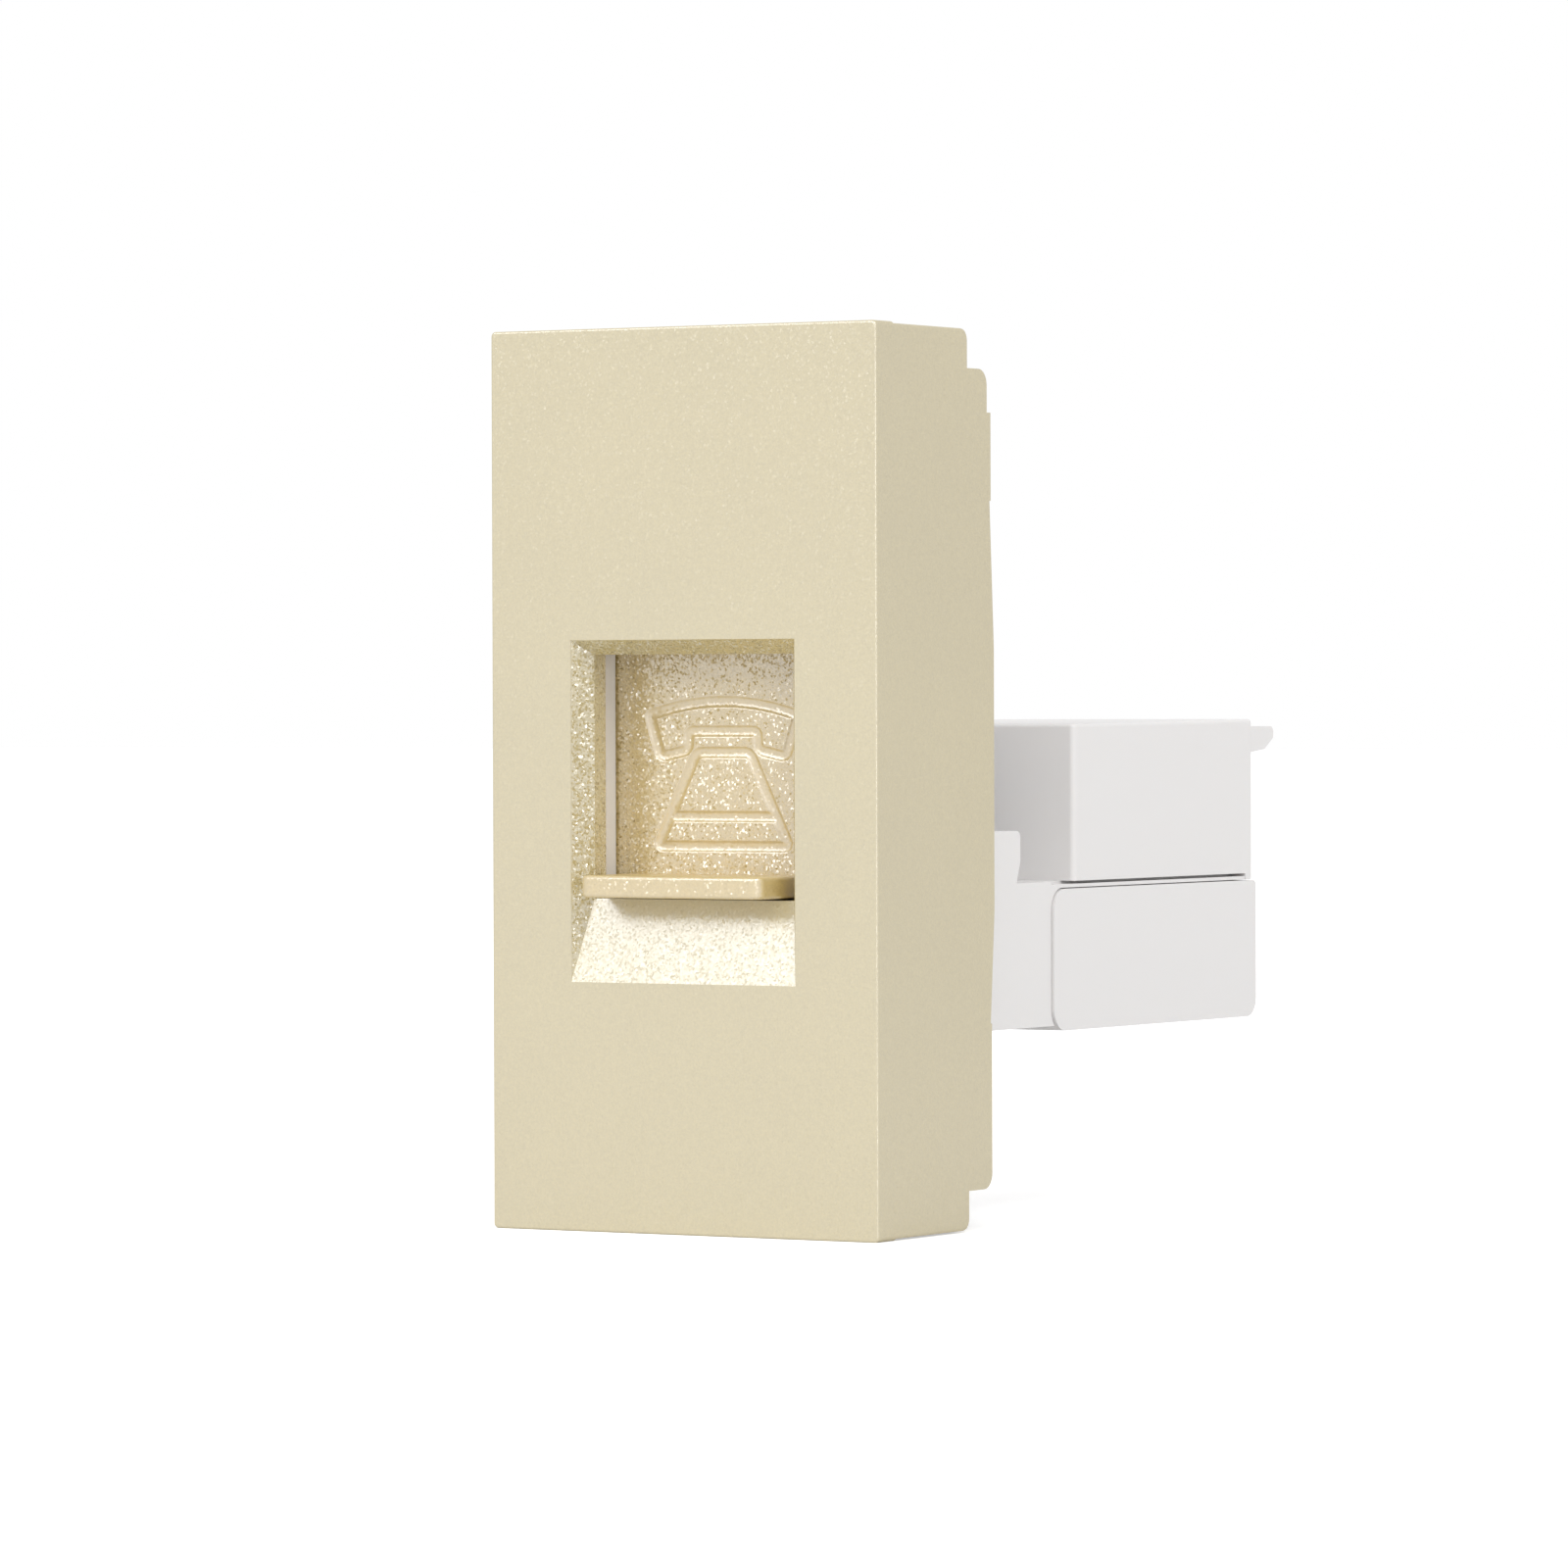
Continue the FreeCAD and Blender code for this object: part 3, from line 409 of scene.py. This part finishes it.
# %% [markdown]
# Metals inside
#
# The contact wires are phosphor bronze with a gold flash, the forks are stamped bronze with
# dull tin, and the springs are drawn steel. Drawing and stamping leave fine marks, which
# the eye reads as a gloss that changes a little from place to place. They show only when
# the shutter is up or from behind, but they are finished for the views that look in.

# %% Metals
def drawn_metal(name, hex_colour, roughness, mark_size):
    """Metal with the marks of drawing or stamping, at their size in mm."""
    material, tree, shader = start_material(name, {
        "Base Color": linear(hex_colour), "Metallic": 1.0})
    marks = add(tree, "ShaderNodeTexNoise", None, {
        "Vector": in_mm(tree), "Scale": 1 / mark_size, "Detail": 2.0})
    shine = add(tree, "ShaderNodeMapRange", None, {
        "Value": marks.outputs["Fac"], "To Min": roughness - 0.06, "To Max": roughness + 0.08})
    tree.links.new(shine.outputs[0], shader.inputs["Roughness"])
    return material


CONTACTS = 4
gold_flash = drawn_metal("gold flashed bronze", "#e0b45a", 0.25, 0.3)
dull_tin = drawn_metal("dull tinned bronze", "#bdbbb4", 0.42, 0.25)
spring_steel = drawn_metal("drawn spring steel", "#a9a9ab", 0.3, 0.2)
for number in range(1, CONTACTS + 1):
    dress("contact_wire_" + str(number), gold_flash)
    dress("terminal_fork_" + str(number), dull_tin)
for side in ("left", "right"):
    dress("shutter_spring_" + side, spring_steel)
print("metal pieces dressed:", 2 * CONTACTS + 2)

# %% [markdown]
# The board and the contact carrier
#
# The board is glass-epoxy laminate under green solder mask. Its copper tracks lie under the
# mask as slightly raised, paler lanes. A wave texture of scale 1 has 3.2 bands to the
# millimetre, so a scale of 0.35 sets the lanes 0.9 mm apart. The contact carrier is black
# moulded polyester, which is dull and finely grained, because its glass fibres lie just
# under the skin.

# %% Solder mask and black polyester
TRACK_WAVE_SCALE = 0.35
TRACK_RISE = 0.03
FIBRE_GRAINS_PER_MM = 8.0
FIBRE_RISE = 0.02


def solder_mask():
    """Green lacquer over copper tracks."""
    material, tree, shader = start_material("green solder mask laminate", {
        "Roughness": 0.3, "IOR": 1.55})
    tracks = add(tree, "ShaderNodeTexWave", {"bands_direction": "X"}, {
        "Vector": in_mm(tree), "Scale": TRACK_WAVE_SCALE, "Distortion": 2.0, "Detail": 1.0})
    colour = add(tree, "ShaderNodeMix", {"data_type": "RGBA"}, {
        0: tracks.outputs["Fac"], 6: linear("#1d6136"), 7: linear("#2c8148")})
    bump = add(tree, "ShaderNodeBump", None, {
        "Strength": 0.3, "Distance": TRACK_RISE * MM, "Height": tracks.outputs["Fac"]})
    tree.links.new(colour.outputs[2], shader.inputs["Base Color"])
    tree.links.new(bump.outputs[0], shader.inputs["Normal"])
    return material


def black_polyester():
    """Dull black plastic with a fine grain."""
    material, tree, shader = start_material("black moulded polyester", {
        "Base Color": linear("#1b1b1c"), "Roughness": 0.5, "IOR": 1.57})
    grain = add(tree, "ShaderNodeTexNoise", None, {
        "Vector": in_mm(tree), "Scale": FIBRE_GRAINS_PER_MM})
    bump = add(tree, "ShaderNodeBump", None, {
        "Strength": 0.2, "Distance": FIBRE_RISE * MM, "Height": grain.outputs["Fac"]})
    tree.links.new(bump.outputs[0], shader.inputs["Normal"])
    return material


dress("circuit_board", solder_mask())
dress("contact_carrier", black_polyester())
print("board and contact carrier dressed")

# %% [markdown]
# The telephone sign
#
# The shutter carries the common sign for a telephone: a handset over a base, drawn as one
# engraved line a little over half a millimetre wide. It is a matter of depth and not of
# colour, so the line has to be real shape: light from above and in front catches the lower
# wall of each line and leaves the upper one plain. The outline is a few straight stretches
# and arcs, mirrored about the middle.

# %% Arcs and rounded corners
CORNER_STEPS = 4


def arc_points(centre, radius, start, end, steps):
    """Points on a circle between two angles in degrees."""
    points = []
    for i in range(steps + 1):
        angle = math.radians(start + (end - start) * i / steps)
        points.append((centre[0] + radius * math.cos(angle), centre[1] + radius * math.sin(angle)))
    return points


def rounded_loop(corners, radius):
    """A closed line through the corners, each replaced by a small curve."""
    result = []
    for i, corner in enumerate(corners):
        here = Vector(corner)
        back = Vector(corners[i - 1]) - here
        ahead = Vector(corners[(i + 1) % len(corners)]) - here
        reach = min(radius, back.length / 2, ahead.length / 2)
        start = here + back.normalized() * reach
        end = here + ahead.normalized() * reach
        for step in range(CORNER_STEPS + 1):
            t = step / CORNER_STEPS
            result.append(start * (1 - t) ** 2 + here * 2 * t * (1 - t) + end * t ** 2)
    result.append(result[0].copy())
    return result


print("points in each rounded corner:", CORNER_STEPS + 1)

# %% Outline of the handset
SIGN_CORNER = 0.35
HANDSET_RADIUS = 13.9
HANDSET_TOP = 3.92
HANDSET_SPREAD = 17.4
HANDSET_STEPS = 8
EAR_CORNERS = [(-2.03, 2.45), (-2.03, 1.5), (-3.68, 1.16), (-4.32, 3.2)]
crown = arc_points((0, HANDSET_TOP - HANDSET_RADIUS), HANDSET_RADIUS,
                   90 + HANDSET_SPREAD, 90, HANDSET_STEPS)
left_half = EAR_CORNERS + crown[:-1]
right_half = [(-x, z) for x, z in reversed(left_half)]
handset = rounded_loop(left_half + [crown[-1]] + right_half, SIGN_CORNER)
print("handset points:", len(handset))

# %% Outline of the base
BASE_TOP, BASE_BAR, BASE_BOTTOM = 1.38, -1.83, -3.32
TOP_HALF, BOTTOM_HALF = 1.56, 3.86
bar_share = (BASE_TOP - BASE_BAR) / (BASE_TOP - BASE_BOTTOM)
bar_half = TOP_HALF + bar_share * (BOTTOM_HALF - TOP_HALF)
base = rounded_loop([(-TOP_HALF, BASE_TOP), (TOP_HALF, BASE_TOP),
                     (BOTTOM_HALF, BASE_BOTTOM), (-BOTTOM_HALF, BASE_BOTTOM)], SIGN_CORNER)
bar = [Vector((-bar_half, BASE_BAR)), Vector((bar_half, BASE_BAR))]
strokes = [handset, base, bar]
print("sign strokes:", [len(stroke) for stroke in strokes])

# %% [markdown]
# Cutting the sign into the shutter
#
# A Boolean cut with a swept line would leave long thin triangles. Instead the shutter's mesh
# is copied, its flat front face is taken out, and a fine grid is set in its place whose
# points sink by their distance to the nearest stroke. The strip between the grid and the old
# edge of the face is filled flat, so the piece stays closed and keeps the form of its solid.

# %% Depth of the engraved line
LINE_HALF = 0.28
LINE_DEPTH = 0.13
RIM_STEEPNESS = 0.6


def stroke_distance(x, z):
    """Distance from a point of the shutter's face to the nearest stroke."""
    best = math.inf
    for stroke in strokes:
        for start, end in zip(stroke, stroke[1:]):
            along_x, along_z = end[0] - start[0], end[1] - start[1]
            length_squared = along_x * along_x + along_z * along_z
            if length_squared == 0:
                continue
            t = ((x - start[0]) * along_x + (z - start[1]) * along_z) / length_squared
            t = max(0.0, min(1.0, t))
            gap = math.hypot(x - start[0] - t * along_x, z - start[1] - t * along_z)
            best = min(best, gap)
    return best


def groove_depth(gap):
    """Depth of the line at a distance from its middle: a round trough with steeper rims."""
    if gap >= LINE_HALF:
        return 0.0
    return LINE_DEPTH * (1 - (gap / LINE_HALF) ** 2) ** RIM_STEEPNESS


print("line in mm: width", 2 * LINE_HALF, "depth", LINE_DEPTH)

# %% The grid that takes the sign
GRID_STEP = 0.055
GRID_HALF = 4.9
GRID_LOW, GRID_HIGH = -4.15, 4.55


def engraved_grid(shell, plane):
    """Add the grid to a BMesh at a depth in metres; its points sink into the strokes."""
    columns = round(2 * GRID_HALF / GRID_STEP)
    rows = round((GRID_HIGH - GRID_LOW) / GRID_STEP)
    grid = []
    for j in range(rows + 1):
        z = GRID_LOW + (GRID_HIGH - GRID_LOW) * j / rows
        line = []
        for i in range(columns + 1):
            x = -GRID_HALF + 2 * GRID_HALF * i / columns
            depth = groove_depth(stroke_distance(x, z))
            line.append(shell.verts.new((x * MM, plane + depth * MM, z * MM)))
        grid.append(line)
    for lower, upper in zip(grid, grid[1:]):
        for i in range(columns):
            face = shell.faces.new((lower[i], lower[i + 1], upper[i + 1], upper[i]))
            face.smooth = True


print("grid in mm:", 2 * GRID_HALF, "by", round(GRID_HIGH - GRID_LOW, 2))

# %% The shutter with its sign
WELD_DISTANCE = 1e-7
FLATNESS = 2e-6
FACING_Y = 0.9


def open_edges(shell):
    """Edges with a face on one side only."""
    return [edge for edge in shell.edges if len(edge.link_faces) == 1]


def engraved_shutter():
    """The shutter's own mesh with its front face exchanged for the engraved grid."""
    shell = bmesh.new()
    shell.from_mesh(nodes["shutter"].data)
    bmesh.ops.remove_doubles(shell, verts=shell.verts, dist=WELD_DISTANCE)
    plane = SHUTTER_FRONT * MM
    front = [face for face in shell.faces if abs(face.normal.y) > FACING_Y
             and all(abs(vert.co.y - plane) < FLATNESS for vert in face.verts)]
    bmesh.ops.delete(shell, geom=front, context="FACES_ONLY")
    rim = open_edges(shell)
    engraved_grid(shell, plane)
    known = set(rim)
    inner = [edge for edge in open_edges(shell) if edge not in known]
    bmesh.ops.triangle_fill(shell, edges=rim + inner, use_beauty=True, normal=(0, -1, 0))
    mesh = finished_mesh("shutter_with_sign", shell, shutter_lacquer)
    return put_in_scene("shutter_with_sign", mesh)


sign_piece = engraved_shutter()
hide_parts("shutter")
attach(sign_piece, "sliding_shutter")
print("shutter faces:", len(sign_piece.data.polygons))

# %% [markdown]
# The springs
#
# Each return spring is a coil of 0.26 mm wire. Here it is drawn with more sides than in the
# CAD model, as one mesh of its own that is fixed with the socket. In the real socket the
# shutter presses its lower end up, and the turns close like those of a real spring.

# %% One coil of wire
SPRING_WIRE_RADIUS = 0.13
SPRING_TURNS = 8
STEPS_PER_TURN = 28
WIRE_SIDES = 10


def coil_mesh(name, low, high):
    """A coil of wire that fills a box from its low to its high corner, with closed ends."""
    wire = SPRING_WIRE_RADIUS * MM
    radius = (high[0] - low[0]) / 2 - wire
    centre = Vector(((low[0] + high[0]) / 2, (low[1] + high[1]) / 2, 0))
    steps = SPRING_TURNS * STEPS_PER_TURN
    shell = bmesh.new()
    rings = []
    for i in range(steps + 1):
        angle = 2 * math.pi * i / STEPS_PER_TURN
        out = Vector((math.cos(angle), math.sin(angle), 0))
        rise = low[2] + wire + (high[2] - low[2] - 2 * wire) * i / steps
        middle = centre + out * radius + Vector((0, 0, rise))
        ring = []
        for k in range(WIRE_SIDES):
            turn = 2 * math.pi * k / WIRE_SIDES
            lift = Vector((0, 0, wire * math.sin(turn)))
            ring.append(shell.verts.new(middle + out * wire * math.cos(turn) + lift))
        rings.append(ring)
    for first, second in zip(rings, rings[1:]):
        for k in range(WIRE_SIDES):
            after = (k + 1) % WIRE_SIDES
            face = shell.faces.new((first[k], second[k], second[after], first[after]))
            face.smooth = True
    shell.faces.new(rings[0])
    shell.faces.new(list(reversed(rings[-1])))
    return finished_mesh(name, shell, spring_steel)


print("wire in mm:", 2 * SPRING_WIRE_RADIUS, "turns:", SPRING_TURNS)


def coil_spring(side):
    """A spring that replaces its CAD node, as a mesh of its own fixed with the socket."""
    low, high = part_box("shutter_spring_" + side)
    name = "spring_coil_" + side
    piece = put_in_scene(name, coil_mesh(name, low, high))
    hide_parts("shutter_spring_" + side)
    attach(piece, "socket")
    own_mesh(piece)


for side in ("left", "right"):
    coil_spring(side)

# %% [markdown]
# White surroundings
#
# The module stands on a white sheet in front of white paper. The paper and the sheet are
# white to the camera, and the paper almost so to reflections, while the light that they
# throw on the object stays at a plain level. The Light Path node tells these rays apart.

# %% White paper all round
FILL = 0.78
MIRRORED_WHITE = 0.85
WHITE = (1, 1, 1, 1)
world = bpy.data.worlds.new("white studio")
bpy.context.scene.world = world
world.use_nodes = True
sky = world.node_tree
sky.nodes.clear()
rays = add(sky, "ShaderNodeLightPath")
mirrored = add(sky, "ShaderNodeMath", {"operation": "MAXIMUM"}, {
    0: rays.outputs["Is Glossy Ray"], 1: rays.outputs["Is Transmission Ray"]})
seen = add(sky, "ShaderNodeMath", {"operation": "MAXIMUM"}, {
    0: rays.outputs["Is Camera Ray"], 1: mirrored.outputs[0]})
fill = add(sky, "ShaderNodeBackground", None, {"Color": WHITE, "Strength": FILL})
# Sockets 2 and 3 of this Mix are its two plain numbers.
brightness = add(sky, "ShaderNodeMix", None, {
    0: rays.outputs["Is Camera Ray"], 2: MIRRORED_WHITE, 3: 1.0})
paper = add(sky, "ShaderNodeBackground", None, {
    "Color": WHITE, "Strength": brightness.outputs[0]})
mix = add(sky, "ShaderNodeMixShader", None, {
    0: seen.outputs[0], 1: fill.outputs[0], 2: paper.outputs[0]})
add(sky, "ShaderNodeOutputWorld", None, {0: mix.outputs[0]})
print("paper: fill", FILL, "mirrored", MIRRORED_WHITE)

# %% White sheet under the module
FLOOR_REACH = 3.0
SHEET_LIFT = 0.45
floor_z = cad_box[0][2]
floor_corners = [(x * FLOOR_REACH, y * FLOOR_REACH, floor_z)
                 for x, y in ((-1, -1), (1, -1), (1, 1), (-1, 1))]
floor_mesh = bpy.data.meshes.new("studio_floor")
floor_mesh.from_pydata(floor_corners, [], [(0, 1, 2, 3)])
floor_material, floor_tree, floor_shader = start_material("white sheet", {
    "Base Color": linear("#e6e6e6"), "Roughness": 0.9, "Emission Color": WHITE})
floor_rays = add(floor_tree, "ShaderNodeLightPath")
lift = add(floor_tree, "ShaderNodeMath", {"operation": "MULTIPLY"}, {
    0: floor_rays.outputs["Is Camera Ray"], 1: SHEET_LIFT})
floor_tree.links.new(lift.outputs[0], floor_shader.inputs["Emission Strength"])
floor_mesh.materials.append(floor_material)
floor = put_in_scene("studio_floor", floor_mesh)
print("floor at mm:", round(floor_z / MM, 2))

# %% [markdown]
# Soft boxes
#
# A big soft box stands high in front, a little to the left: it gives the bright finger slope
# and the lit walls of the sign. A second one at the right, higher still, lights the white
# jack and the cover's side. A narrow upright strip at the right, level with the module,
# draws a thin bright line on the rounded edge between the face and the side.

# %% Three soft boxes
def soft_box(name, bearing, height, distance, size, power):
    """Area lamp at a bearing from the front, an elevation and a distance, aimed at the object."""
    lamp = bpy.data.lights.new(name, "AREA")
    lamp.shape = "RECTANGLE"
    lamp.size, lamp.size_y = size
    lamp.energy = power
    bearing, height = math.radians(bearing), math.radians(height)
    level = math.cos(height)
    offset = Vector((math.sin(bearing) * level, -math.cos(bearing) * level, math.sin(height)))
    holder = put_in_scene(name, lamp)
    holder.location = offset * distance + Vector((0, 0.01, 0))
    holder.rotation_euler = (-offset).to_track_quat("-Z", "Y").to_euler()
    print(name, "at mm:", [round(value / MM) for value in holder.location])


soft_box("main soft box", -20, 34, 0.8, (0.56, 0.4), 1.7)
soft_box("right soft box", 47, 46, 0.9, (0.5, 0.5), 2.6)
soft_box("edge strip", 45, 5, 0.9, (0.16, 0.4), 0.8)

# %% [markdown]
# The camera
#
# The photograph was taken from 31 degrees to the right of the face, almost level, from some
# 38 cm away with a long lens. Those values come from matching the corners of the cover, so
# the picture's perspective is the photograph's own.

# %% Camera at the photograph's viewpoint
BEARING, TILT, ROLL = 31.44, 0.65, -0.172
CAMERA_PLACE = Vector((204.06, -332.92, 4.18)) * MM
FOCAL_PIXELS, FRAME_PIXELS = 7898.2, 1600
SENSOR_WIDTH = 36.0
bearing, tilt, roll = (math.radians(value) for value in (BEARING, TILT, ROLL))
back = Vector((math.sin(bearing) * math.cos(tilt),
               -math.cos(bearing) * math.cos(tilt), math.sin(tilt)))
right = Vector((math.cos(bearing), math.sin(bearing), 0))
up = back.cross(right)
turned_right = right * math.cos(roll) + up * math.sin(roll)
turned_up = up * math.cos(roll) - right * math.sin(roll)
camera_data = bpy.data.cameras.new("photo camera")
camera_data.sensor_width = SENSOR_WIDTH
camera_data.lens = FOCAL_PIXELS / FRAME_PIXELS * SENSOR_WIDTH
camera_data.clip_start = 0.01
camera = put_in_scene("photo camera", camera_data)
turn = Matrix((turned_right, turned_up, back)).transposed().to_4x4()
camera.matrix_world = Matrix.Translation(CAMERA_PLACE) @ turn
bpy.context.scene.camera = camera
bpy.context.scene.view_settings.view_transform = "Standard"
print("lens in mm:", round(camera_data.lens, 1))
